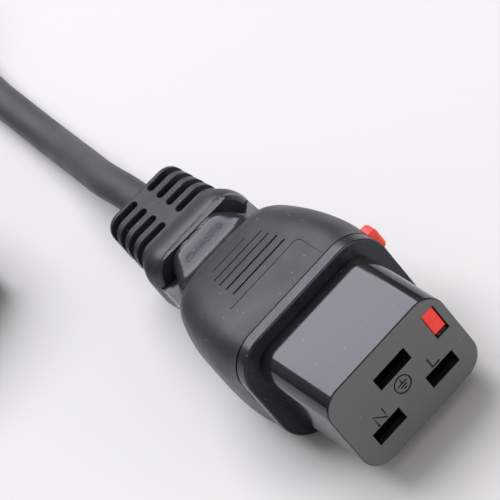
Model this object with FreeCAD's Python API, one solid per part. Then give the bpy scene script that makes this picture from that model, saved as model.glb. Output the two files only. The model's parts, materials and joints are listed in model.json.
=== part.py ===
import FreeCAD, Part
import math
import os

# Locking C19 line socket on a 1 m lead that ends in a C20 plug. Millimetres.
# Origin: centre of the socket's mating face. +Y runs back along the socket, +Z is its earth side,
# and +X is the side of the line contact and the red release button.

Vector = FreeCAD.Vector
os.makedirs("parts", exist_ok=True)

overshoot = 1.0             # how far a cutting solid passes the face that it opens

# ---- socket nose and its contact slots
nose_width = 27.3
nose_height = 19.1
nose_corner = 4.4
nose_edge_round = 0.4
nose_length = 21.0
pin_spacing = 13.0          # line to neutral
earth_offset = 8.0          # earth slot above the line and neutral slots
slot_row_z = -4.17          # height of the line and neutral slots
live_slot_width = 6.44
earth_slot_width = 7.44
slot_height = 2.87
face_wall = 1.6             # moulded wall in front of the contact cavities
cavity_height = 4.8
cavity_side_room = 0.48     # cavity beyond each end of its slot

# ---- collar behind the nose
collar_width = 33.4
collar_height = 24.0
collar_corner = 6.8
collar_thickness = 2.4
collar_edge_round = 0.35

# ---- rear block of the contact carrier, inside the housing
tail_width = 24.6
tail_height = 16.6
tail_corner = 3.0
tail_end = 36.0

# ---- moulded housing: station, half width, half height, corner
body_stations = [
    (27.0, 16.95, 11.9, 7.2),
    (31.5, 17.0, 11.9, 7.4),
    (36.5, 16.6, 11.7, 7.6),
    (42.0, 15.8, 11.2, 7.8),
    (48.5, 14.1, 10.2, 7.4),
    (53.5, 12.0, 8.7, 6.4),
    (57.0, 9.6, 7.1, 5.2),
    (59.5, 8.2, 6.2, 4.6),
    (62.0, 8.0, 6.0, 4.5),
]
seam_depth = 0.22
seam_width = 0.25
corner_gap_start = 8.0      # half width where the gap behind the collar begins
corner_gap_width = 0.75
corner_gap_depth = 1.6
corner_gap_low = 1.0

# ---- rear half of the housing, which leans a little to the button side
lean_degrees = 2.8
lean_start = 54.0
grip_stations = [
    (60.4, 10.4, 6.7, 4.8),
    (62.0, 11.4, 7.5, 5.4),
    (64.8, 11.4, 7.5, 5.4),
    (67.4, 10.2, 6.9, 4.2),
]
web_half_height = 2.7
web_outline = [(51.0, 12.2), (54.5, 11.5), (58.0, 11.2), (62.5, 11.3), (66.0, 10.6)]
relief_start = 66.0
relief_end = 82.6
relief_front = (9.8, 6.9, 3.6)
relief_back = (8.6, 5.8, 3.2)
relief_end_round = 1.0
relief_slot_first = 69.2
relief_slot_pitch = 3.8
relief_slot_count = 4
relief_slot_width = 1.55
relief_slot_depth = 1.9
relief_slot_low = 1.6       # the slots wrap down the sides to this height
relief_rib_width = 2.9      # solid rib between the two columns of slots
relief_floor_inset = 1.2    # corner of the slots' floor, smaller than the outside corner

# ---- inner moulding round the crimps
premould_end = 54.0
premould_end_width = 14.0
premould_end_height = 10.5
premould_end_corner = 3.0

# ---- lock: a key behind the window in the face, and a wedge-ended button
window_x = (9.07, 12.0)
window_z = (0.98, 6.78)
window_back = 28.8
key_side_gap = 0.14
key_top_gap = 0.12
key_recess = 0.4
key_shoulder = 24.5
key_end = 28.4
key_end_round = 0.25
button_travel = 1.0
wedge_slope = 0.35          # the key drops by this share of the button's travel
wedge_gap = 0.12
wedge_mid = (10.5, 4.0)     # point on the key's wedge face
button_y = (24.75, 28.35)
button_z = (1.95, 6.45)
button_gap = 0.15
button_end_gap = 0.25       # left inside the pressed button's nose
button_stand = 1.7          # button's top beyond the collar's side
button_corner = 0.9
plate_thickness = 1.2       # flange that keeps the button in the housing
plate_end = 31.5
plate_gap = 0.1
spring_closed = 0.9         # room for the spring under the pressed button
spring_side_gap = 0.3
spring_end_gap = 0.03
leaf_thickness = 0.2
leaf_bows = 2
leaf_end_gap = 0.6
leaf_side_gap = 0.45
leaf_gap = 0.03             # above and below the leaf spring at rest
leaf_flat_gap = 0.02        # left when the key lies fully down

# ---- female contacts
contact_thickness = 0.5
contact_side_gap = 0.3
contact_cavity_gap = 0.1    # above and below the leaves' rear ends
contact_mouth_y = 2.3
contact_mouth_inset = 0.3
contact_pinch_y = 4.8
contact_grip = 0.15         # each leaf bears on the pin by this much
contact_bow_y = 12.0
contact_bow_inset = 0.45
contact_rear = 21.5
crimp_end = 30.0
crimp_gap = 0.05
crimp_wall = 0.4
conductor_radius = 1.25
conductor_start = 23.0
conductor_turn_in = 39.0
conductor_turn_out = 49.0
conductor_spread = 1.75     # distance of each core from the cord's axis
conductor_bend = 7.0

# ---- cord
cord_diameter = 6.6
cord_bore_gap = 0.05
floor_z = -collar_height / 2
turn_share = 0.45
lead_straight = 9.0         # first run, straight out of the strain relief
lead_route = [
    (1.3, 101.5, -1.0),
    (2.1, 111.5, -3.7),
    (3.1, 122.0, -6.6),
    (4.2, 134.5, -8.5),
    (5.1, 148.0, -8.7),
    (6.1, 163.0, -8.7),
    (8.9, 179.0, -8.3),
    (13.0, 195.5, -8.0),
    (14.7, 212.0, -7.9),
]
hank_middle_x = -11.9
hank_near_y = 210.0         # centre of the folds nearer the socket
hank_straight = 43.0
hank_fold_radius = 20.0     # to the middle of the innermost turn
hank_columns = 2
hank_layers = 3
hank_section_corner = 3.2
strap_thickness = 0.8
strap_y = (225.0, 238.0)
tail_route = [
    (-38.5, 211.0, -1.3),
    (-38.4, 202.4, -0.9),
    (-38.5, 193.7, 0.3),
]

# ---- C20 plug on the far end, built with its mouth in the plane y = 0 and then moved
shroud_width = 33.0
shroud_height = 24.6
shroud_corner = 5.8
shroud_length = 24.0
recess_width = 28.0
recess_height = 19.8
recess_corner = 4.7
recess_depth = 17.5
pin_width = 8.0
pin_height = 2.0
pin_tip = 2.5               # distance of the pin tips inside the mouth
pin_root = 22.0
pin_tip_chamfer = 0.6
plug_stations = [
    (24.0, 16.2, 12.0, 6.0),
    (29.0, 16.6, 12.2, 6.6),
    (36.0, 15.2, 11.4, 6.8),
    (43.0, 12.0, 9.2, 6.0),
    (48.0, 9.4, 7.3, 5.0),
    (52.0, 8.6, 6.6, 4.2),
]
plug_relief_start = 51.0
plug_relief_end = 68.0
plug_relief_front = (8.8, 6.7, 3.6)
plug_relief_back = (7.4, 5.6, 3.0)
plug_slot_first = 54.0
plug_mouth = (-38.5, 117.0)


def outline(half_width, half_height, corner, y, x_mid=0.0, z_mid=0.0):
    # Closed wire of a rounded rectangle in the plane at y.
    reach_x = half_width - corner
    reach_z = half_height - corner
    arcs = []
    for quarter, (side_x, side_z) in enumerate([(1, 1), (-1, 1), (-1, -1), (1, -1)]):
        ring = []
        for share in (0.0, 0.5, 1.0):
            angle = math.pi / 2 * (quarter + share)
            ring.append(Vector(x_mid + side_x * reach_x + corner * math.cos(angle), y,
                               z_mid + side_z * reach_z + corner * math.sin(angle)))
        arcs.append(ring)
    edges = []
    for index, ring in enumerate(arcs):
        edges.append(Part.Arc(ring[0], ring[1], ring[2]).toShape())
        edges.append(Part.LineSegment(ring[2], arcs[(index + 1) % 4][0]).toShape())
    return Part.Wire(edges)


def prism(half_width, half_height, corner, y_start, y_end):
    face = Part.Face(outline(half_width, half_height, corner, y_start))
    return face.extrude(Vector(0, y_end - y_start, 0))


def loft(stations, shift=None):
    wires = []
    for y, half_width, half_height, corner in stations:
        x_mid = shift(y) if shift else 0.0
        wires.append(outline(half_width, half_height, corner, y, x_mid))
    return Part.makeLoft(wires, True, False)


def box(x_range, y_range, z_range):
    corner = Vector(min(x_range), min(y_range), min(z_range))
    return Part.makeBox(abs(x_range[1] - x_range[0]), abs(y_range[1] - y_range[0]),
                        abs(z_range[1] - z_range[0]), corner)


def prism_yz(points, x_range):
    # Closed polygon of (y, z) points, extruded along X.
    ring = [Vector(x_range[0], y, z) for y, z in points]
    return Part.Face(Part.makePolygon(ring + ring[:1])).extrude(Vector(x_range[1] - x_range[0], 0, 0))


def prism_xz(points, y_range):
    ring = [Vector(x, y_range[0], z) for x, z in points]
    return Part.Face(Part.makePolygon(ring + ring[:1])).extrude(Vector(0, y_range[1] - y_range[0], 0))


def prism_xy(points, z_range):
    ring = [Vector(x, y, z_range[0]) for x, y in points]
    return Part.Face(Part.makePolygon(ring + ring[:1])).extrude(Vector(0, 0, z_range[1] - z_range[0]))


def lean_shift(y):
    # Sideways place of the leaning rear half's middle at y.
    return max(0.0, y - lean_start) * math.tan(math.radians(lean_degrees))


def leaning(shape):
    turned = shape.copy()
    turned.rotate(Vector(0, lean_start, 0), Vector(0, 0, 1), -lean_degrees)
    return turned


def lean_point(y):
    reach = y - lean_start
    angle = math.radians(lean_degrees)
    return Vector(reach * math.sin(angle), lean_start + reach * math.cos(angle), 0)


def save(name, shape):
    shape.exportStep("parts/" + name + ".step")
    print(name, "solids", len(shape.Solids), "volume", round(shape.Volume, 2), "valid", shape.isValid())


# ---- strain reliefs

def strain_relief(start, end, front, back, first_slot):
    # Tapered block with two columns of slots, above and below, that wrap over its sides.
    block = loft([(start,) + front, (end,) + back])
    rear_edges = [edge for edge in block.Edges if abs(edge.BoundBox.YMin - end) < 1e-4]
    block = block.makeFillet(relief_end_round, rear_edges)
    insets = (relief_slot_depth, relief_slot_depth, relief_floor_inset)
    inner_front = tuple(size - inset for size, inset in zip(front, insets))
    inner_back = tuple(size - inset for size, inset in zip(back, insets))
    core = loft([(start,) + inner_front, (end,) + inner_back])
    reach = front[0] + overshoot
    top = front[1] + overshoot
    round_centre = relief_rib_width / 2 + relief_slot_width / 2
    tools = []
    for row in range(relief_slot_count):
        middle = first_slot + row * relief_slot_pitch
        y_range = (middle - relief_slot_width / 2, middle + relief_slot_width / 2)
        for side in (-1, 1):
            for z_range in ((relief_slot_low, top), (-top, -relief_slot_low)):
                slot = box((side * round_centre, side * reach), y_range, z_range)
                slot_end = Part.makeCylinder(relief_slot_width / 2, z_range[1] - z_range[0],
                                             Vector(side * round_centre, middle, z_range[0]))
                tools.append(slot.fuse(slot_end).cut(core))
    return block.cut(Part.makeCompound(tools))


# ---- slots and cavities

earth_z = slot_row_z + earth_offset
slots = {
    "line": (pin_spacing / 2, slot_row_z, live_slot_width),
    "neutral": (-pin_spacing / 2, slot_row_z, live_slot_width),
    "earth": (0.0, earth_z, earth_slot_width),
}

collar_back = nose_length + collar_thickness
key_bottom_gap = button_travel * wedge_slope + leaf_thickness + leaf_flat_gap
button_nose_x = window_x[0] + 2 * key_side_gap
pocket_inner_x = button_nose_x - button_travel - button_end_gap
plate_inner_x = tail_width / 2 + spring_closed + button_travel
wall_inside_x = plate_inner_x + plate_thickness + plate_gap
button_top_x = collar_width / 2 + button_stand
pocket_y = (button_y[0] - button_gap, button_y[1] + button_gap)
pocket_z = (button_z[0] - button_gap, button_z[1] + button_gap)


def make_carrier():
    nose = prism(nose_width / 2, nose_height / 2, nose_corner, 0, collar_back)
    front_edges = [edge for edge in nose.Edges if edge.BoundBox.YMax < 1e-4]
    nose = nose.makeFillet(nose_edge_round, front_edges)
    tail = prism(tail_width / 2, tail_height / 2, tail_corner, collar_back, tail_end)
    carrier = nose.fuse(tail)
    for x_mid, z_mid, width in slots.values():
        half = width / 2
        slot = box((x_mid - half, x_mid + half), (-overshoot, face_wall + overshoot),
                   (z_mid - slot_height / 2, z_mid + slot_height / 2))
        half += cavity_side_room
        cavity = box((x_mid - half, x_mid + half), (face_wall, tail_end + overshoot),
                     (z_mid - cavity_height / 2, z_mid + cavity_height / 2))
        carrier = carrier.cut(slot).cut(cavity)
    window = box(window_x, (-overshoot, window_back), window_z)
    wedge_room = box((pocket_inner_x, tail_width / 2 + overshoot), (pocket_y[0], window_back), pocket_z)
    return carrier.cut([window, wedge_room]).removeSplitter()


def make_collar():
    ring = prism(collar_width / 2, collar_height / 2, collar_corner, nose_length, collar_back)
    front_edges = [edge for edge in ring.Edges if edge.BoundBox.YMax < nose_length + 1e-4]
    ring = ring.makeFillet(collar_edge_round, front_edges)
    return ring.cut(prism(nose_width / 2, nose_height / 2, nose_corner,
                          nose_length - overshoot, collar_back + overshoot))


# ---- housing

def make_body_shell():
    lip = prism(collar_width / 2 - seam_depth, collar_height / 2 - seam_depth,
                collar_corner - seam_depth, collar_back, collar_back + seam_width)
    front_station = (collar_back + seam_width, collar_width / 2, collar_height / 2, collar_corner)
    body = loft([front_station] + body_stations, lean_shift)
    return body.fuse(lip)


def make_corner_gaps():
    # Gaps between collar and housing at the two upper corners. They widen towards the sides.
    gap_back = collar_back + corner_gap_width
    outer_x = collar_width / 2 + overshoot
    inside = prism(collar_width / 2 - corner_gap_depth, collar_height / 2 - corner_gap_depth,
                   collar_corner - corner_gap_depth, collar_back - overshoot, gap_back + overshoot)
    gaps = []
    for side in (-1, 1):
        wedge = [(side * corner_gap_start, collar_back), (side * outer_x, collar_back),
                 (side * outer_x, gap_back)]
        gaps.append(prism_xy(wedge, (corner_gap_low, collar_height)).cut(inside))
    return Part.makeCompound(gaps)


def make_grip_web():
    right = [(half, y) for y, half in web_outline]
    left = [(-half, y) for y, half in reversed(web_outline)]
    return leaning(prism_xy(right + left, (-web_half_height, web_half_height)))


def make_button_pocket():
    start_x = tail_width / 2 - tail_corner
    room = box((start_x, wall_inside_x), (pocket_y[0], plate_end + button_gap), pocket_z)
    mouth = box((start_x, button_top_x + overshoot), pocket_y, pocket_z)
    return room.fuse(mouth)


def make_premould():
    front = outline(tail_width / 2, tail_height / 2, tail_corner, tail_end)
    back = outline(premould_end_width / 2, premould_end_height / 2, premould_end_corner, premould_end)
    return Part.makeLoft([front, back], True, True)


def cord_bore():
    start = lean_point(lean_start)
    along = lean_point(relief_end + overshoot) - start
    return Part.makeCylinder(cord_diameter / 2 + cord_bore_gap, along.Length, start, along)


def make_housing(premould):
    grip = leaning(loft(grip_stations))
    relief = leaning(strain_relief(relief_start, relief_end, relief_front, relief_back,
                                   relief_slot_first))
    housing = make_body_shell().fuse([make_grip_web(), grip, relief])
    carrier_room = prism(tail_width / 2, tail_height / 2, tail_corner, collar_back - overshoot, tail_end)
    housing = housing.cut([carrier_room, premould, cord_bore(), make_button_pocket(), make_corner_gaps()])
    return housing.removeSplitter()


# ---- lock

def wedge_height(x):
    return wedge_mid[1] - wedge_slope * (x - wedge_mid[0])


def make_key():
    x_range = (window_x[0] + key_side_gap, window_x[1] - key_side_gap)
    z_range = (window_z[0] + key_bottom_gap, window_z[1] - key_top_gap)
    bar = box(x_range, (key_recess, key_shoulder), z_range)
    front_edges = [edge for edge in bar.Edges if edge.BoundBox.YMax < key_recess + 1e-4]
    bar = bar.makeFillet(key_end_round, front_edges)
    tail = prism_xz([(x_range[0], z_range[0]), (x_range[1], z_range[0]),
                     (x_range[1], wedge_height(x_range[1])), (x_range[0], wedge_height(x_range[0]))],
                    (key_shoulder, key_end))
    return bar.fuse(tail).removeSplitter()


def make_button():
    cap = box((plate_inner_x, button_top_x), button_y, button_z)
    top_edges = [edge for edge in cap.Edges if edge.BoundBox.XMax > button_top_x - 1e-4]
    cap = cap.makeFillet(button_corner, top_edges)
    plate = box((plate_inner_x, plate_inner_x + plate_thickness), (button_y[0], plate_end), button_z)
    wedge = prism_xz([(button_nose_x, wedge_height(button_nose_x) + wedge_gap),
                      (plate_inner_x, wedge_height(plate_inner_x) + wedge_gap),
                      (plate_inner_x, button_z[1]), (button_nose_x, button_z[1])],
                     (button_y[0] + button_gap, button_y[1] - button_gap))
    return cap.fuse([plate, wedge]).removeSplitter()


def make_button_spring():
    # Bowed leaf between the inner moulding and the button's flange.
    foot_x = tail_width / 2 + spring_end_gap
    crown_x = plate_inner_x - spring_end_gap
    y_range = (button_y[1] + spring_side_gap, plate_end - spring_side_gap)
    z_middle = (button_z[0] + button_z[1]) / 2
    reach = (button_z[1] - button_z[0]) / 2 - spring_side_gap
    edges = []
    for inset in (0.0, leaf_thickness):
        edges.append(Part.Arc(Vector(foot_x, y_range[0], z_middle - reach + inset),
                              Vector(crown_x - inset, y_range[0], z_middle),
                              Vector(foot_x, y_range[0], z_middle + reach - inset)).toShape())
    for side in (-1, 1):
        edges.append(Part.LineSegment(Vector(foot_x, y_range[0], z_middle + side * reach),
                                      Vector(foot_x, y_range[0],
                                             z_middle + side * (reach - leaf_thickness))).toShape())
    face = Part.Face(Part.Wire(Part.__sortEdges__(edges)))
    return face.extrude(Vector(0, y_range[1] - y_range[0], 0))


def make_leaf_spring():
    low = window_z[0] + leaf_gap
    crown = window_z[0] + key_bottom_gap - leaf_gap - leaf_thickness
    start = leaf_end_gap
    bow_length = (key_shoulder - start) / leaf_bows
    x_range = (window_x[0] + leaf_side_gap, window_x[1] - leaf_side_gap)
    edges = []
    for lift, order in ((0.0, 1), (leaf_thickness, -1)):
        arcs = []
        for bow in range(leaf_bows):
            y = start + bow * bow_length
            arcs.append(Part.Arc(Vector(x_range[0], y, low + lift),
                                 Vector(x_range[0], y + bow_length / 2, crown + lift),
                                 Vector(x_range[0], y + bow_length, low + lift)).toShape())
        edges.extend(arcs[::order])
    for y in (start, start + leaf_bows * bow_length):
        edges.append(Part.LineSegment(Vector(x_range[0], y, low),
                                      Vector(x_range[0], y, low + leaf_thickness)).toShape())
    face = Part.Face(Part.Wire(Part.__sortEdges__(edges)))
    return face.extrude(Vector(x_range[1] - x_range[0], 0, 0))


# ---- contacts and conductors

def make_contact(x_mid, z_mid, width):
    # Two spring leaves that pinch the pin, a rear web, and a crimp barrel behind it.
    half = width / 2 + cavity_side_room - contact_side_gap
    x_range = (x_mid - half, x_mid + half)
    rear_height = cavity_height / 2 - contact_cavity_gap - contact_thickness
    inner = [(contact_mouth_y, rear_height - contact_mouth_inset),
             (contact_pinch_y, pin_height / 2 - contact_grip),
             (contact_bow_y, rear_height - contact_bow_inset),
             (contact_rear, rear_height)]
    leaf = inner + [(y, z + contact_thickness) for y, z in reversed(inner)]
    leaves = []
    for side in (-1, 1):
        leaves.append(prism_yz([(y, z_mid + side * z) for y, z in leaf], x_range))
    web_top = rear_height + contact_thickness
    web = box(x_range, (contact_rear - contact_thickness, contact_rear), (z_mid - web_top, z_mid + web_top))
    start = Vector(x_mid, contact_rear, z_mid)
    length = crimp_end - contact_rear
    inner_radius = conductor_radius + crimp_gap
    barrel = Part.makeCylinder(inner_radius + crimp_wall, length, start, Vector(0, 1, 0))
    barrel = barrel.cut(Part.makeCylinder(inner_radius, length, start, Vector(0, 1, 0)))
    return web.fuse(leaves + [barrel]).removeSplitter()


def rounded_path(points, radii):
    # Straight runs joined by tangent arcs.
    edges = []
    start = points[0]
    for index in range(1, len(points) - 1):
        corner = points[index]
        before = (points[index - 1] - corner).normalize()
        after = (points[index + 1] - corner).normalize()
        half_turn = (math.pi - before.getAngle(after)) / 2
        radius = radii[index - 1]
        tangent = radius * math.tan(half_turn)
        arc_start = corner + before * tangent
        arc_end = corner + after * tangent
        towards_centre = (before + after).normalize()
        arc_middle = corner + towards_centre * (radius / math.cos(half_turn) - radius)
        edges.append(Part.LineSegment(start, arc_start).toShape())
        edges.append(Part.Arc(arc_start, arc_middle, arc_end).toShape())
        start = arc_end
    edges.append(Part.LineSegment(start, points[-1]).toShape())
    return Part.Wire(edges)


def pipe(path, radius, start, direction):
    circle = Part.Wire(Part.makeCircle(radius, start, direction))
    return path.makePipeShell([circle], True, True)


def make_conductor(x_mid, z_mid, angle_degrees):
    angle = math.radians(angle_degrees)
    end_x = conductor_spread * math.cos(angle)
    end_z = conductor_spread * math.sin(angle)
    points = [Vector(x_mid, conductor_start, z_mid), Vector(x_mid, conductor_turn_in, z_mid),
              Vector(end_x, conductor_turn_out, end_z), Vector(end_x, premould_end, end_z)]
    path = rounded_path(points, [conductor_bend, conductor_bend])
    return pipe(path, conductor_radius, points[0], Vector(0, 1, 0))


# ---- cord

def route_radii(name, points):
    radii = []
    for index in range(1, len(points) - 1):
        before = points[index] - points[index - 1]
        after = points[index + 1] - points[index]
        turn = before.getAngle(after)
        radii.append(turn_share * min(before.Length, after.Length) / math.tan(turn / 2))
    print(name, "radii", [round(radius, 1) for radius in radii])
    return radii


def make_cord(name, points):
    path = rounded_path(points, route_radii(name, points))
    cord = pipe(path, cord_diameter / 2, points[0], points[1] - points[0])
    section = math.pi * (cord_diameter / 2) ** 2
    share = cord.Volume / (section * path.Length)
    print(name, "length", round(path.Length, 2), "volume share", round(share, 5))
    return cord


hank_width = hank_columns * cord_diameter
hank_height = hank_layers * cord_diameter
hank_section_radius = hank_fold_radius + (hank_width - cord_diameter) / 2
hank_z = floor_z + strap_thickness + hank_height / 2


def hank_section(side, y, grow=0.0):
    return Part.Face(outline(hank_width / 2 + grow, hank_height / 2 + grow, hank_section_corner + grow,
                             y, hank_middle_x + side * hank_section_radius, hank_z))


def make_hank():
    # Two straight runs joined by half rings.
    up = Vector(0, 0, 1)
    far_y = hank_near_y + hank_straight
    runs = [hank_section(side, hank_near_y).extrude(Vector(0, hank_straight, 0)) for side in (-1, 1)]
    near_end = hank_section(-1, hank_near_y).revolve(Vector(hank_middle_x, hank_near_y, 0), up, 180)
    far_end = hank_section(1, far_y).revolve(Vector(hank_middle_x, far_y, 0), up, 180)
    return near_end.fuse(runs + [far_end]).removeSplitter()


def make_strap(hank):
    sleeve = hank_section(1, strap_y[0], strap_thickness)
    return sleeve.extrude(Vector(0, strap_y[1] - strap_y[0], 0)).cut(hank)


# ---- plug

plug_axis_z = floor_z + shroud_height / 2
plug_back = Vector(plug_mouth[0], plug_mouth[1] + plug_relief_end, plug_axis_z)


def place_plug(shape):
    placed = shape.copy()
    placed.translate(Vector(plug_mouth[0], plug_mouth[1], plug_axis_z))
    return placed


def plug_pin_places():
    # Seen from its own front, the plug mirrors the socket.
    return {
        "line": (-pin_spacing / 2, slot_row_z),
        "neutral": (pin_spacing / 2, slot_row_z),
        "earth": (0.0, earth_z),
    }


def make_pin(x_mid, z_mid):
    half = pin_width / 2
    blade = box((x_mid - half, x_mid + half), (pin_tip, pin_root),
                (z_mid - pin_height / 2, z_mid + pin_height / 2))
    tip_edges = [edge for edge in blade.Edges if edge.BoundBox.YMax < pin_tip + 1e-4]
    return blade.makeChamfer(pin_tip_chamfer, tip_edges)


def make_shroud(pins):
    shell = prism(shroud_width / 2, shroud_height / 2, shroud_corner, 0, shroud_length)
    mouth_edges = [edge for edge in shell.Edges if edge.BoundBox.YMax < 1e-4]
    shell = shell.makeFillet(nose_edge_round, mouth_edges)
    recess = prism(recess_width / 2, recess_height / 2, recess_corner, -overshoot, recess_depth)
    return shell.cut(recess).cut(pins)


def make_plug_body():
    body = loft(plug_stations)
    relief = strain_relief(plug_relief_start, plug_relief_end, plug_relief_front, plug_relief_back,
                           plug_slot_first)
    return body.fuse(relief).removeSplitter()


# ---- build

save("contact_carrier", make_carrier())
save("front_collar", make_collar())

premould = make_premould()
save("housing", make_housing(premould))

conductor_angles = {"line": -30, "neutral": 210, "earth": 90}
conductors = []
for pole, (x_mid, z_mid, width) in slots.items():
    save("contact_" + pole, make_contact(x_mid, z_mid, width))
    conductor = make_conductor(x_mid, z_mid, conductor_angles[pole])
    save("core_" + pole, conductor)
    conductors.append(conductor)
save("crimp_moulding", premould.cut(conductors))

save("release_button", make_button())
save("button_spring", make_button_spring())
save("lock_key", make_key())
save("key_spring", make_leaf_spring())

exit_point = lean_point(relief_end)
inner_start = lean_point(lean_start)
entry = Part.makeCylinder(cord_diameter / 2, (exit_point - inner_start).Length,
                          inner_start, exit_point - inner_start)
save("cord_entry", entry.cut([premould] + conductors))
lead_points = [exit_point, lean_point(relief_end + lead_straight)]
save("cord_lead", make_cord("cord_lead", lead_points + [Vector(*point) for point in lead_route]))
hank = make_hank()
save("cord_hank", hank)
save("hank_strap", make_strap(hank))
tail_points = [Vector(*point) for point in tail_route] + [plug_back]
save("cord_tail", make_cord("cord_tail", tail_points))

pins = []
for pole, (x_mid, z_mid) in plug_pin_places().items():
    pin = make_pin(x_mid, z_mid)
    pins.append(pin)
    save("plug_pin_" + pole, place_plug(pin))
save("plug_shroud", place_plug(make_shroud(pins)))
save("plug_body", place_plug(make_plug_body()))
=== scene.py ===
import json
import math

import bmesh
import bpy
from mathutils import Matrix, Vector
from mathutils.bvhtree import BVHTree


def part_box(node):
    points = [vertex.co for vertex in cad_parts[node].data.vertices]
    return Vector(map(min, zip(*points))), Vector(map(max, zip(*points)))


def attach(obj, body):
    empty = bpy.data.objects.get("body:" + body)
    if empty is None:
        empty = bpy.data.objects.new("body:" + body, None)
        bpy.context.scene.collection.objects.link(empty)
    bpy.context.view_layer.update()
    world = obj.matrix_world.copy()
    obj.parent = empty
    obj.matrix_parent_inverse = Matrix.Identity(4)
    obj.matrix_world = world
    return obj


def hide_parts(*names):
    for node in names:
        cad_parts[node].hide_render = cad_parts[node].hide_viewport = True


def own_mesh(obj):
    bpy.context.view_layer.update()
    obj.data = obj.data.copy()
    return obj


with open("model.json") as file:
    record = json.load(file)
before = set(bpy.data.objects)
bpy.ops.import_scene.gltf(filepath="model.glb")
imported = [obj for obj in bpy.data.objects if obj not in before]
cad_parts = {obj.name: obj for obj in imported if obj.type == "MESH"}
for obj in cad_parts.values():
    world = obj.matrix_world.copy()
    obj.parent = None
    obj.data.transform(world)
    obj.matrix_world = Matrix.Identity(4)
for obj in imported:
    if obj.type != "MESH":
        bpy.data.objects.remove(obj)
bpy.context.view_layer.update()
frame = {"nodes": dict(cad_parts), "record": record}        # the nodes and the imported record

mm = 0.001
nodes = frame["nodes"]
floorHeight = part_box("front_collar")[0][2]
print("frame loaded,", len(nodes), "nodes")

camera = {
    "place": (-0.09709, -0.49862, 0.42882),
    "turn": (44.870, 31.188, -37.941),      # degrees
    "lens": 290.77, "sensor": 36.0,
    "nearest": 0.02, "farthest": 20,
}


def makeCamera():
    lens = bpy.data.cameras.new("camera")
    lens.lens = camera["lens"]
    lens.sensor_width = camera["sensor"]
    lens.clip_start = camera["nearest"]
    lens.clip_end = camera["farthest"]
    eye = bpy.data.objects.new("camera", lens)
    eye.location = camera["place"]
    eye.rotation_euler = [math.radians(angle) for angle in camera["turn"]]
    bpy.context.collection.objects.link(eye)
    bpy.context.scene.camera = eye


stage = {
    "size": 5.0,
    "colour": (0.80, 0.79, 0.75, 1),
    "roughness": 0.6,
}


def makeFloor():
    half = stage["size"] / 2
    mesh = bpy.data.meshes.new("floor")
    corners = [(-half, -half, floorHeight), (half, -half, floorHeight),
               (half, half, floorHeight), (-half, half, floorHeight)]
    mesh.from_pydata(corners, [], [(0, 1, 2, 3)])
    floor = bpy.data.objects.new("floor", mesh)
    bpy.context.collection.objects.link(floor)
    paper = bpy.data.materials.new("paleFloor")
    paper.use_nodes = True
    shader = paper.node_tree.nodes["Principled BSDF"]
    shader.inputs["Base Color"].default_value = stage["colour"]
    shader.inputs["Roughness"].default_value = stage["roughness"]
    mesh.materials.append(paper)


lamps = {
    "aim": (0, 0.03, 0),
    "panels": [
        {"name": "overhead", "place": (0.12, 0.78, 1.12), "width": 1.3, "height": 1.1,
         "power": 20.5, "colour": (0.935, 0.925, 1.0)},
        {"name": "frontFill", "place": (0.45, -1.1, 0.32), "width": 0.6, "height": 0.4,
         "power": 5.2, "colour": (1.0, 0.985, 0.96)},
    ],
}


def makeLamps():
    for lamp in lamps["panels"]:
        light = bpy.data.lights.new(lamp["name"], "AREA")
        light.shape = "RECTANGLE"
        light.size = lamp["width"]
        light.size_y = lamp["height"]
        light.energy = lamp["power"]
        light.color = lamp["colour"]
        holder = bpy.data.objects.new(lamp["name"], light)
        holder.location = lamp["place"]
        towards = Vector(lamps["aim"]) - Vector(lamp["place"])
        holder.rotation_euler = towards.to_track_quat("-Z", "Y").to_euler()
        bpy.context.collection.objects.link(holder)


def addNode(tree, kind, inputs=None, **settings):
    # An input that is a socket is linked, and any other value is set.
    node = tree.nodes.new("ShaderNode" + kind)
    for key, value in settings.items():
        setattr(node, key, value)
    for key, value in (inputs or {}).items():
        if isinstance(value, bpy.types.NodeSocket):
            tree.links.new(value, node.inputs[key])
        else:
            node.inputs[key].default_value = value
    return node


def newMaterial(name):
    material = bpy.data.materials.new(name)
    material.use_nodes = True
    tree = material.node_tree
    return material, tree, tree.nodes["Principled BSDF"]


def noise(tree, where, scale, detail=2.0):
    return addNode(tree, "TexNoise", {"Vector": where, "Scale": scale, "Detail": detail}).outputs["Fac"]


def spread(tree, value, low, high, fromLow=0.35, fromHigh=0.65):
    # The value from low to high, as it goes from fromLow to fromHigh; noise stays mostly within those.
    node = addNode(tree, "MapRange", {"Value": value, "From Min": fromLow, "From Max": fromHigh,
                                      "To Min": low, "To Max": high})
    return node.outputs["Result"]


def blend(tree, share, first, second):
    node = addNode(tree, "Mix", {"Factor": share}, data_type="RGBA")
    for socket, value in ((node.inputs[6], first), (node.inputs[7], second)):
        if isinstance(value, bpy.types.NodeSocket):
            tree.links.new(value, socket)
        else:
            socket.default_value = value
    return node.outputs[2]


def blendNumbers(tree, share, first, second):
    mixed = addNode(tree, "Mix", {"Factor": share, "A": first, "B": second}, data_type="FLOAT")
    return mixed.outputs[0]


# A low pale backdrop past the floor's edge, dark walls above it, and a grey ceiling
room = {
    "backdrop": (0.88, 0.88, 0.89, 1),
    "walls": (0.030, 0.031, 0.035, 1),
    "ceiling": (0.34, 0.34, 0.365, 1),
    # where each fades into the next, as the height of the direction looked in
    "backdropTop": (0.07, 0.10),
    "wallTop": (0.14, 0.55),
}


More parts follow.
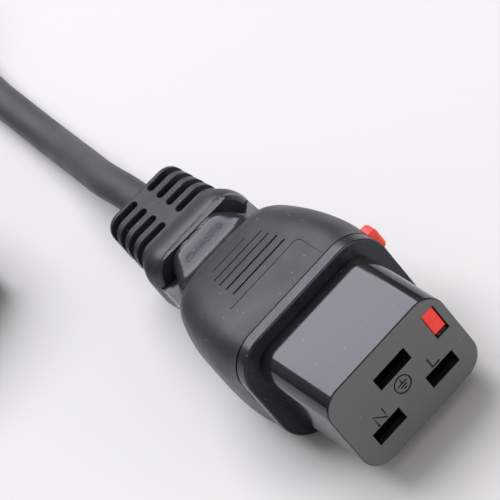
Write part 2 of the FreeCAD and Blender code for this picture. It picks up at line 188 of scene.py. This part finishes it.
def makeRoom():
    world = bpy.data.worlds.new("room")
    world.use_nodes = True
    tree = world.node_tree
    direction = addNode(tree, "TexCoord").outputs["Generated"]
    up = addNode(tree, "SeparateXYZ", {"Vector": direction}).outputs["Z"]
    low = spread(tree, up, 0.0, 1.0, *room["backdropTop"])
    high = spread(tree, up, 0.0, 1.0, *room["wallTop"])
    light = blend(tree, high, blend(tree, low, room["backdrop"], room["walls"]), room["ceiling"])
    tree.links.new(light, tree.nodes["Background"].inputs["Color"])
    bpy.context.scene.world = world


# the same for every plastic
speckle = {
    "blotchDetail": 4.0,
    "streakScale": 2.3,          # times the blotches' scale
    "streakDetail": 3.0,
    "solidDust": 0.6,            # share of a speck's radius, before its edge fades
}

plastics = {
    "carrier_black": {
        "dark": (0.014, 0.014, 0.016, 1), "light": (0.020, 0.020, 0.023, 1), "blotchScale": 90,
        "roughness": (0.09, 0.14), "ior": 1.52, "glint": (0.93, 0.92, 1.0, 1),
        # the mating face: its roughness is real, and its paler colour is a painted reflection of the pale
        # surroundings
        "matFaceWithPaintedLight": {"from": 0.03 * mm, "to": 0.08 * mm, "roughness": 0.55,
                    "colour": (0.115, 0.118, 0.118, 1)},
        "grainScale": 2600, "grainStrength": 0.05, "grainDepth": 0.02 * mm,
        "dustSpacing": 1.9 * mm, "dustRadius": 0.09 * mm, "dustColour": (0.45, 0.45, 0.47, 1),
    },
    "collar_black": {
        "dark": (0.016, 0.016, 0.018, 1), "light": (0.024, 0.024, 0.027, 1), "blotchScale": 110,
        "roughness": (0.24, 0.32), "ior": 1.50, "glint": (0.93, 0.92, 1.0, 1),
        "grainScale": 3200, "grainStrength": 0.08, "grainDepth": 0.02 * mm,
        "dustSpacing": 1.8 * mm, "dustRadius": 0.09 * mm, "dustColour": (0.6, 0.6, 0.62, 1),
    },
    "housing_black": {
        "dark": (0.021, 0.021, 0.023, 1), "light": (0.038, 0.038, 0.041, 1), "blotchScale": 70,
        "roughness": (0.38, 0.48), "ior": 1.48, "glint": (0.93, 0.92, 1.0, 1),
        "grainScale": 2700, "grainStrength": 0.45, "grainDepth": 0.05 * mm,
        "dustSpacing": 1.9 * mm, "dustRadius": 0.10 * mm, "dustColour": (0.60, 0.60, 0.62, 1),
        "rubbed": {"middle": 56.0 * mm, "reach": (3.5 * mm, 8.0 * mm), "roughness": 0.17},
    },
    "cord_black": {
        "dark": (0.056, 0.056, 0.061, 1), "light": (0.074, 0.074, 0.080, 1), "blotchScale": 60,
        "roughness": (0.48, 0.58), "ior": 1.46,
        "grainScale": 3000, "grainStrength": 0.12, "grainDepth": 0.03 * mm,
        "dustSpacing": 4.5 * mm, "dustRadius": 0.12 * mm, "dustColour": (0.5, 0.5, 0.5, 1),
    },
    "lock_red": {
        "dark": (0.88, 0.030, 0.018, 1), "light": (1.00, 0.060, 0.038, 1), "blotchScale": 400,
        "roughness": (0.32, 0.40), "ior": 1.48,
        "grainScale": 5000, "grainStrength": 0.08, "grainDepth": 0.02 * mm,
        "dustSpacing": 2.9 * mm, "dustRadius": 0.05 * mm, "dustColour": (1.0, 0.5, 0.45, 1),
    },
    "inner_grey": {
        "dark": (0.16, 0.16, 0.16, 1), "light": (0.22, 0.22, 0.22, 1), "blotchScale": 80,
        "roughness": (0.5, 0.6), "ior": 1.46,
        "grainScale": 3000, "grainStrength": 0.1, "grainDepth": 0.03 * mm,
        "dustSpacing": 5.0 * mm, "dustRadius": 0.05 * mm, "dustColour": (0.3, 0.3, 0.3, 1),
    },
    "core_brown": {
        "dark": (0.17, 0.075, 0.03, 1), "light": (0.24, 0.11, 0.045, 1), "blotchScale": 150,
        "roughness": (0.38, 0.46), "ior": 1.47,
        "grainScale": 3000, "grainStrength": 0.08, "grainDepth": 0.02 * mm,
        "dustSpacing": 5.0 * mm, "dustRadius": 0.05 * mm, "dustColour": (0.4, 0.3, 0.2, 1),
    },
    "core_blue": {
        "dark": (0.03, 0.11, 0.42, 1), "light": (0.05, 0.16, 0.52, 1), "blotchScale": 150,
        "roughness": (0.38, 0.46), "ior": 1.47,
        "grainScale": 3000, "grainStrength": 0.08, "grainDepth": 0.02 * mm,
        "dustSpacing": 5.0 * mm, "dustRadius": 0.05 * mm, "dustColour": (0.3, 0.4, 0.6, 1),
    },
}


def dustShare(tree, where, spacing, radius):
    cells = addNode(tree, "TexVoronoi", {"Vector": where, "Scale": 1 / spacing})
    solid = radius / spacing * speckle["solidDust"]
    return spread(tree, cells.outputs["Distance"], 1.0, 0.0, solid, radius / spacing)


def mouldedPlastic(name, look):
    material, tree, shader = newMaterial(name)
    where = addNode(tree, "TexCoord").outputs["Object"]
    blotches = noise(tree, where, look["blotchScale"], speckle["blotchDetail"])
    colour = blend(tree, spread(tree, blotches, 0.0, 1.0), look["dark"], look["light"])
    streaks = noise(tree, where, look["blotchScale"] * speckle["streakScale"], speckle["streakDetail"])
    roughness = spread(tree, streaks, *look["roughness"])
    if "matFaceWithPaintedLight" in look:      # the mating face is duller than the polished sides, and its paler colour is painted light: a painted reflection of the pale surroundings
        depth = addNode(tree, "SeparateXYZ", {"Vector": where}).outputs["Y"]
        onFace = spread(tree, depth, 1.0, 0.0, look["matFaceWithPaintedLight"]["from"], look["matFaceWithPaintedLight"]["to"])
        colour = blend(tree, onFace, colour, look["matFaceWithPaintedLight"]["colour"])
        roughness = blendNumbers(tree, onFace, roughness, look["matFaceWithPaintedLight"]["roughness"])
    if "rubbed" in look:       # smoother where fingers pull it out
        along = addNode(tree, "SeparateXYZ", {"Vector": where}).outputs["Y"]
        away = addNode(tree, "Math", {0: along, 1: look["rubbed"]["middle"]}, operation="SUBTRACT")
        away = addNode(tree, "Math", {0: away.outputs[0]}, operation="ABSOLUTE").outputs[0]
        rubbed = spread(tree, away, 1.0, 0.0, *look["rubbed"]["reach"])
        roughness = blendNumbers(tree, rubbed, roughness, look["rubbed"]["roughness"])
    dust = dustShare(tree, where, look["dustSpacing"], look["dustRadius"])
    tree.links.new(blend(tree, dust, colour, look["dustColour"]), shader.inputs["Base Color"])
    tree.links.new(roughness, shader.inputs["Roughness"])
    grain = noise(tree, where, look["grainScale"])
    bump = addNode(tree, "Bump", {"Height": grain, "Strength": look["grainStrength"],
                                  "Distance": look["grainDepth"]})
    tree.links.new(bump.outputs["Normal"], shader.inputs["Normal"])
    shader.inputs["IOR"].default_value = look["ior"]
    shader.inputs["Specular Tint"].default_value = look.get("glint", (1, 1, 1, 1))
    return material


greenYellow = {
    "yellow": (0.75, 0.62, 0.03, 1), "green": (0.06, 0.34, 0.07, 1),
    "stripe": 0.55 * mm, "edge": (0.92, 1.08),      # the edge as shares of the stripe
    "grainScale": 2500, "roughness": (0.36, 0.46),
}


def stripedCore(name, look):
    # Green insulation with a yellow stripe along both sides.
    material, tree, shader = newMaterial(name)
    where = addNode(tree, "TexCoord").outputs["Object"]
    across = addNode(tree, "SeparateXYZ", {"Vector": where}).outputs["X"]
    width = addNode(tree, "Math", {0: across}, operation="ABSOLUTE").outputs[0]
    near, far = (look["stripe"] * share for share in look["edge"])
    share = spread(tree, width, 0.0, 1.0, near, far)
    tree.links.new(blend(tree, share, look["yellow"], look["green"]), shader.inputs["Base Color"])
    grain = noise(tree, where, look["grainScale"])
    tree.links.new(spread(tree, grain, *look["roughness"]), shader.inputs["Roughness"])
    return material


# the same for every metal
brushMarks = {"detail": 3.0, "tarnishDetail": 4.0, "strength": 0.15, "depth": 0.01 * mm}

metals = {
    "contact_brass": {
        "dark": (0.055, 0.043, 0.026, 1), "light": (0.10, 0.08, 0.05, 1), "tarnishScale": 500,
        "brush": (1, 0.1, 1), "brushScale": 4000, "roughness": (0.28, 0.42),
    },
    "spring_steel": {
        "dark": (0.50, 0.50, 0.50, 1), "light": (0.66, 0.66, 0.66, 1), "tarnishScale": 900,
        "brush": (1, 1, 1), "brushScale": 5000, "roughness": (0.22, 0.34),
    },
    "pin_nickel": {
        "dark": (0.62, 0.60, 0.56, 1), "light": (0.74, 0.72, 0.68, 1), "tarnishScale": 350,
        "brush": (0.1, 1, 1), "brushScale": 4000, "roughness": (0.24, 0.36),
    },
}


def metal(name, look):
    material, tree, shader = newMaterial(name)
    where = addNode(tree, "TexCoord").outputs["Object"]
    stretched = addNode(tree, "Mapping", {"Vector": where, "Scale": look["brush"]}).outputs["Vector"]
    brushing = noise(tree, stretched, look["brushScale"], brushMarks["detail"])
    tarnish = noise(tree, where, look["tarnishScale"], brushMarks["tarnishDetail"])
    colour = blend(tree, spread(tree, tarnish, 0.0, 1.0), look["dark"], look["light"])
    tree.links.new(colour, shader.inputs["Base Color"])
    tree.links.new(spread(tree, brushing, *look["roughness"]), shader.inputs["Roughness"])
    bump = addNode(tree, "Bump", {"Height": brushing, "Strength": brushMarks["strength"],
                                  "Distance": brushMarks["depth"]})
    tree.links.new(bump.outputs["Normal"], shader.inputs["Normal"])
    shader.inputs["Metallic"].default_value = 1.0
    return material


strapLook = {
    "dark": (0.022, 0.022, 0.024, 1), "light": (0.05, 0.05, 0.054, 1),
    "weave": 1400, "threadStrength": 0.7, "depth": 0.12 * mm,
    "roughness": 0.85, "sheen": 0.4,
}


def strapFabric(name, look):
    material, tree, shader = newMaterial(name)
    where = addNode(tree, "TexCoord").outputs["Object"]
    weave = addNode(tree, "TexVoronoi", {"Vector": where, "Scale": look["weave"]})
    threads = weave.outputs["Distance"]
    tree.links.new(blend(tree, threads, look["light"], look["dark"]), shader.inputs["Base Color"])
    bump = addNode(tree, "Bump", {"Height": threads, "Strength": look["threadStrength"],
                                  "Distance": look["depth"]})
    tree.links.new(bump.outputs["Normal"], shader.inputs["Normal"])
    shader.inputs["Roughness"].default_value = look["roughness"]
    shader.inputs["Sheen Weight"].default_value = look["sheen"]
    return material


def makeMaterials():
    made = {name: mouldedPlastic(name, look) for name, look in plastics.items()}
    for name, look in metals.items():
        made[name] = metal(name, look)
    made["core_green_yellow"] = stripedCore("core_green_yellow", greenYellow)
    made["strap_black"] = strapFabric("strap_black", strapLook)
    return made


def dress(piece, material):
    piece.data.materials.clear()
    piece.data.materials.append(material)


cord = {
    "diameter": 6.6 * mm,
    "length": 1.0,
    "ringSteps": 8, "alongSteps": 8,
    # from here on millimetres: where it leaves the strain relief, and its route to and from the hank
    "exit": (1.397, 82.566, 0.0),
    "lead": [(1.837, 91.555, 0.0), (1.65, 101.5, -1.0), (2.6, 111.5, -3.7), (3.6, 122.0, -6.6),
             (4.5, 134.5, -8.5), (5.3, 148.0, -8.7), (6.2, 163.0, -8.7), (8.9, 179.0, -8.3),
             (13.0, 195.5, -8.0), (14.7, 212.0, -7.9)],
    "tail": [(-38.5, 211.0, -1.3), (-38.4, 202.4, -0.9), (-38.5, 193.7, 0.3), (-38.5, 185.0, 0.3)],
}

# the folded part, in millimetres: straight runs between two ends, joined by half rings
hank = {
    "middle": -11.9,
    "nearEnd": 210.0,
    "farEnd": 253.0,
    "straightSteps": 5,
    "foldSteps": 16,
    # radius and height where each run or fold starts: right, far, left, near, and so on
    "stations": [(26.6, -7.9), (26.6, -7.9), (26.6, -7.9), (20.0, -7.9),
                 (20.0, -7.9), (20.0, -1.3), (20.0, -1.3), (20.0, -1.3),
                 (20.0, -1.3), (20.0, 5.3), (20.0, 5.3), (20.0, 5.3),
                 (26.6, 5.3), (26.6, -1.3), (26.6, -1.3), (26.6, -1.3)],
}


def hankPoint(leg, share):
    # Even legs are straight runs, and odd ones are folds.
    eased = share * share * (3 - 2 * share)
    (radius, height), (endRadius, endHeight) = hank["stations"][leg:leg + 2]
    radius += eased * (endRadius - radius)
    height += eased * (endHeight - height)
    side = 1 if leg % 4 < 2 else -1
    start = hank["nearEnd"] if side * (1 - leg % 2 * 2) > 0 else hank["farEnd"]
    if leg % 2 == 0:
        length = hank["farEnd"] - hank["nearEnd"]
        return hank["middle"] + side * radius, start + side * share * length, height
    angle = math.pi * share
    return (hank["middle"] + side * radius * math.cos(angle),
            start + side * radius * math.sin(angle), height)


def hankPoints():
    points = []
    for leg in range(len(hank["stations"]) - 1):
        steps = hank["foldSteps"] if leg % 2 else hank["straightSteps"]
        points += [hankPoint(leg, index / steps) for index in range(steps)]
    return points[1:]


def makeCord(material):
    route = [cord["exit"]] + cord["lead"] + hankPoints() + cord["tail"]
    curve = bpy.data.curves.new("cord", "CURVE")
    curve.dimensions = "3D"
    curve.bevel_depth = cord["diameter"] / 2
    curve.bevel_resolution = cord["ringSteps"]
    curve.resolution_u = cord["alongSteps"]
    spline = curve.splines.new("NURBS")
    spline.points.add(len(route) - 1)
    for point, place in zip(spline.points, route):
        point.co = [value * mm for value in place] + [1]
    spline.order_u = 3
    spline.use_endpoint_u = True
    spline.use_smooth = True
    piece = bpy.data.objects.new("cord", curve)
    bpy.context.collection.objects.link(piece)
    dress(piece, material)
    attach(piece, "socket")
    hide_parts("cord_lead", "cord_hank", "cord_tail")
    print("cord laid,", len(route), "control points")


# for every CAD mesh that is copied and worked on
reshaping = {
    "weld": 0.001 * mm,
    "rayHeight": 0.05,
    "smoothBelow": 30,          # degrees between two faces
}


def weldedCopy(node, name):
    # The CAD mesh with its corners joined and its stored normals dropped.
    mesh = nodes[node].data.copy()
    work = bmesh.new()
    work.from_mesh(mesh)
    bmesh.ops.remove_doubles(work, verts=work.verts, dist=reshaping["weld"])
    for layer in list(work.loops.layers.float_vector.values()):
        work.loops.layers.float_vector.remove(layer)
    work.to_mesh(mesh)
    work.free()
    if "custom_normal" in mesh.attributes:
        mesh.attributes.remove(mesh.attributes["custom_normal"])
    piece = bpy.data.objects.new(name, mesh)
    bpy.context.collection.objects.link(piece)
    return piece


def surfaceHeights(piece):
    work = bmesh.new()
    work.from_mesh(piece.data)
    tree = BVHTree.FromBMesh(work)
    work.free()

    def height(x, y):
        hit = tree.ray_cast(Vector((x * mm, y * mm, reshaping["rayHeight"])), Vector((0, 0, -1)))
        return hit[0].z / mm
    return height


def bandCutter(work, path, width, lift, closed=False):
    # A band along a flat path. For a flat point, lift gives the cut's floor and a place above the surface.
    count = len(path)
    rings = []
    for index, point in enumerate(path):
        before = path[(index - 1) % count] if closed else path[max(index - 1, 0)]
        after = path[(index + 1) % count] if closed else path[min(index + 1, count - 1)]
        along = (Vector(after) - Vector(before)).normalized()
        side = Vector((-along.y, along.x)) * width / 2
        left = lift(Vector(point) - side, point)
        right = lift(Vector(point) + side, point)
        rings.append([work.verts.new(place) for place in (left[0], right[0], right[1], left[1])])
    pairs = list(zip(rings, rings[1:]))
    if closed:
        pairs.append((rings[-1], rings[0]))
    else:
        work.faces.new(rings[0][::-1])
        work.faces.new(rings[-1])
    for first, second in pairs:
        for corner in range(4):
            following = (corner + 1) % 4
            work.faces.new((first[corner], first[following], second[following], second[corner]))


def cutAway(piece, cutterWork, name):
    bmesh.ops.recalc_face_normals(cutterWork, faces=cutterWork.faces)
    cutterMesh = bpy.data.meshes.new(name)
    cutterWork.to_mesh(cutterMesh)
    cutterWork.free()
    cutter = bpy.data.objects.new(name, cutterMesh)
    bpy.context.collection.objects.link(cutter)
    modifier = piece.modifiers.new("engraving", "BOOLEAN")
    modifier.operation = "DIFFERENCE"
    modifier.solver = "EXACT"
    modifier.object = cutter
    graph = bpy.context.evaluated_depsgraph_get()
    cut = bpy.data.meshes.new_from_object(piece.evaluated_get(graph))
    piece.modifiers.clear()
    piece.data = cut
    bpy.data.objects.remove(cutter)


def shadeByAngle(piece):
    work = bmesh.new()
    work.from_mesh(piece.data)
    limit = math.radians(reshaping["smoothBelow"])
    for face in work.faces:
        face.smooth = True
    for edge in work.edges:
        edge.smooth = len(edge.link_faces) == 2 and edge.calc_face_angle(0) < limit
    work.to_mesh(piece.data)
    work.free()


def linePath(start, end, step):
    count = max(1, round((Vector(end) - Vector(start)).length / step))
    return [tuple(Vector(start).lerp(Vector(end), index / count)) for index in range(count + 1)]


waist = {
    # share of the height, and of the width on the neutral side, that is left at each place along it
    "height": [(46.5, 1.0), (48.5, 0.97), (50.0, 0.885), (51.0, 0.81), (52.0, 0.755), (53.0, 0.73),
               (54.0, 0.742), (55.0, 0.785), (56.0, 0.868), (57.0, 0.98), (58.0, 1.10), (59.0, 1.19),
               (60.3, 1.24), (62.0, 1.0)],
    "width": [(38.0, 1.0), (44.0, 0.978), (50.0, 0.955), (56.0, 0.935), (64.0, 0.935), (68.0, 1.0)],
    "ridge": 7.6, "ridgePlaces": (58.0, 62.0),
    "subdivideOver": 0.8, "passes": 3,
    # the room for the inner moulding, at its two ends, and the bore behind it
    "innerPlaces": (36.0, 54.0), "innerWidth": (12.5, 7.2), "innerHeight": (8.5, 5.45),
    "boreStart": 54.01, "boreMiddle": 0.2, "boreRadius": 3.5,
}


def shareAt(table, place):
    # Straight from one row of the table to the next, and 1 outside it.
    for (start, low), (end, high) in zip(table, table[1:]):
        if start <= place < end:
            return low + (high - low) * (place - start) / (end - start)
    return 1.0


def isInside(place):
    # Whether a point is on the inner walls, which keep their shape.
    x, y, z = (abs(value) / mm for value in place)
    if y > waist["boreStart"]:
        return math.hypot(x - waist["boreMiddle"], z) < waist["boreRadius"]
    start, end = waist["innerPlaces"]
    share = (y - start) / (end - start)
    width, endWidth = waist["innerWidth"]
    height, endHeight = waist["innerHeight"]
    return x < width + share * (endWidth - width) and z < height + share * (endHeight - height)


def shapeWaist(piece):
    # A saddle between the body and the ridge behind it.
    work = bmesh.new()
    work.from_mesh(piece.data)
    start, end = waist["width"][0][0] * mm, waist["width"][-1][0] * mm
    for _ in range(waist["passes"]):
        edges = [edge for edge in work.edges
                 if all(start < vertex.co.y < end and not isInside(vertex.co) for vertex in edge.verts)
                 and edge.calc_length() > waist["subdivideOver"] * mm]
        bmesh.ops.subdivide_edges(work, edges=edges, cuts=1)
    bmesh.ops.triangulate(work, faces=[face for face in work.faces if len(face.verts) > 4])
    for vertex in work.verts:
        if isInside(vertex.co):
            continue
        place = vertex.co.y / mm
        height = vertex.co.z * shareAt(waist["height"], place)
        if waist["ridgePlaces"][0] < place < waist["ridgePlaces"][1]:
            height = max(-waist["ridge"] * mm, min(waist["ridge"] * mm, height))
        vertex.co.z = height
        if vertex.co.x < 0:
            vertex.co.x *= shareAt(waist["width"], place)
    work.to_mesh(piece.data)
    work.free()


strainRelief = {
    # where the slots' walls and the end stand along the leaning part, before and after
    "lean": math.radians(2.8), "leanStart": 54.0,
    "walls": [(66.0, 66.0), (68.425, 68.18), (69.975, 70.24), (72.225, 71.96), (73.775, 74.04),
              (76.025, 75.76), (77.575, 77.84), (79.825, 79.56), (81.375, 81.72), (82.6, 83.35)],
}


def openSlots(piece):
    # Wider slots, and a little more wall behind the last ones.
    sine, cosine = math.sin(strainRelief["lean"]), math.cos(strainRelief["lean"])
    walls = strainRelief["walls"]
    for vertex in piece.data.vertices:
        reach = vertex.co.x / mm * sine + (vertex.co.y / mm - strainRelief["leanStart"]) * cosine
        place = reach + strainRelief["leanStart"]
        if place <= walls[0][0]:
            continue
        for (start, newStart), (end, newEnd) in zip(walls, walls[1:]):
            if place <= end:
                break
        share = min(1.0, (place - start) / (end - start))
        shift = (newStart + (newEnd - newStart) * share - place) * mm
        vertex.co.x += shift * sine
        vertex.co.y += shift * cosine


bodyLines = {
    # place along the body, its two ends across, width and depth
    "lines": [(34.36, -5.9, 7.05, 0.46, 0.55), (36.80, -5.85, 7.0, 0.46, 0.52),
              (39.20, -5.8, 6.5, 0.34, 0.36), (41.40, -5.6, 6.2, 0.29, 0.28),
              (43.80, -4.5, 3.6, 0.20, 0.16)],
    "step": 0.8,
    "above": 0.6,          # how far the cutter stands out of the surface
}

# the frame line of the label's place: one side and the far end, joined by a round corner
labelFrame = {
    "left": -8.3, "right": 8.4, "start": 23.8, "end": 31.97,
    "corner": 1.0, "cornerSteps": 6, "step": 0.8,
    "width": 0.18, "depth": 0.16,
}


def makeHousing(material):
    piece = weldedCopy("housing", "housingMoulding")
    openSlots(piece)
    shapeWaist(piece)
    height = surfaceHeights(piece)

    def lifter(depth):
        def lift(flat, centre):
            level = height(*centre)
            return (Vector((flat.x, flat.y, level - depth)) * mm,
                    Vector((flat.x, flat.y, level + bodyLines["above"])) * mm)
        return lift

    work = bmesh.new()
    for y, left, right, width, depth in bodyLines["lines"]:
        bandCutter(work, linePath((left, y), (right, y), bodyLines["step"]), width, lifter(depth))
    cutAway(piece, work, "lineCutter")
    work = bmesh.new()
    corner = labelFrame["corner"]
    right, end = labelFrame["right"], labelFrame["end"]
    path = linePath((right, labelFrame["start"]), (right, end - corner), labelFrame["step"])
    for index in range(1, labelFrame["cornerSteps"]):
        angle = math.pi / (2 * labelFrame["cornerSteps"]) * index
        path.append((right - corner + corner * math.cos(angle), end - corner + corner * math.sin(angle)))
    path += linePath((right - corner, end), (labelFrame["left"], end), labelFrame["step"])
    bandCutter(work, path, labelFrame["width"], lifter(labelFrame["depth"]))
    cutAway(piece, work, "frameCutter")
    shadeByAngle(piece)
    dress(piece, material)
    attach(piece, "socket")
    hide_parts("housing")
    print("housing engraved,", len(piece.data.polygons), "faces")


faceMarks = {
    # places across and up the face: L and N, and the earth mark's ring, bars and stem
    "letters": [[(5.4, -0.2), (5.45, -2.3), (7.15, -2.25)],
                [(-7.75, -2.55), (-7.8, -0.2), (-5.7, -2.4), (-5.65, -0.15)]],
    "width": 0.38, "depth": 0.34, "outside": 0.3,
    "earthMiddle": (-0.25, 0.0), "earthRadius": 1.65, "earthWidth": 0.29, "ringSteps": 40,
    "earthBars": [(1.05, 0.15), (0.7, -0.4), (0.35, -0.95)],
    "earthStem": (1.15, 0.12),
}


def makeCarrier(material):
    piece = weldedCopy("contact_carrier", "carrierMoulding")

    def lift(flat, centre):
        return (Vector((flat.x, faceMarks["depth"], flat.y)) * mm,
                Vector((flat.x, -faceMarks["outside"], flat.y)) * mm)

    middle = Vector(faceMarks["earthMiddle"])
    work = bmesh.new()
    for letter in faceMarks["letters"]:
        bandCutter(work, letter, faceMarks["width"], lift)
    for reach, up in faceMarks["earthBars"]:
        bandCutter(work, [middle + Vector((-reach, up)), middle + Vector((reach, up))],
                   faceMarks["earthWidth"], lift)
    circle = []
    for index in range(faceMarks["ringSteps"]):
        angle = math.pi / (faceMarks["ringSteps"] / 2) * index
        circle.append(middle + faceMarks["earthRadius"] * Vector((math.cos(angle), math.sin(angle))))
    bandCutter(work, circle, faceMarks["earthWidth"], lift, closed=True)
    cutAway(piece, work, "markCutter")
    work = bmesh.new()
    bandCutter(work, [middle + Vector((0, up)) for up in faceMarks["earthStem"]],
               faceMarks["earthWidth"], lift)
    cutAway(piece, work, "stemCutter")
    shadeByAngle(piece)
    dress(piece, material)
    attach(piece, "socket")
    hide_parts("contact_carrier")
    print("face marked,", len(piece.data.polygons), "faces")


# The springs, copied from the CAD meshes. How each flattens as the lock moves is listed, but nothing here
# applies it.
springs = {
    # the axis it flattens along, the side that stays still, and how far the other side is pushed
    "button_spring": {"piece": "buttonLeaf", "joint": "button_press", "along": 0, "fixed": 12.3 * mm,
                      "pushed": 1.0 * mm},
    "key_spring": {"piece": "keyLeaf", "joint": "key_drop", "along": 2, "fixed": 0.98 * mm,
                   "pushed": 0.35 * mm},
}


def makeSprings(material):
    for name, spring in springs.items():
        piece = weldedCopy(name, spring["piece"])
        shadeByAngle(piece)
        dress(piece, material)
        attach(piece, "socket")
        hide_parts(name)
        along = Vector((0, 0, 0))
        along[spring["along"]] = 1
        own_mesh(piece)


nodeSlots = {row["node"]: row["material_slot"] for row in frame["record"]["subparts"]}

makeCamera()
makeFloor()
makeLamps()
makeRoom()
print("camera, floor, lamps and room placed")
materials = makeMaterials()
for nodeName, node in nodes.items():
    dress(node, materials[nodeSlots[nodeName]])
print("materials given to the CAD pieces")
makeCord(materials["cord_black"])
makeHousing(materials["housing_black"])
makeCarrier(materials["carrier_black"])
makeSprings(materials["spring_steel"])

bpy.context.scene.view_settings.view_transform = "Standard"
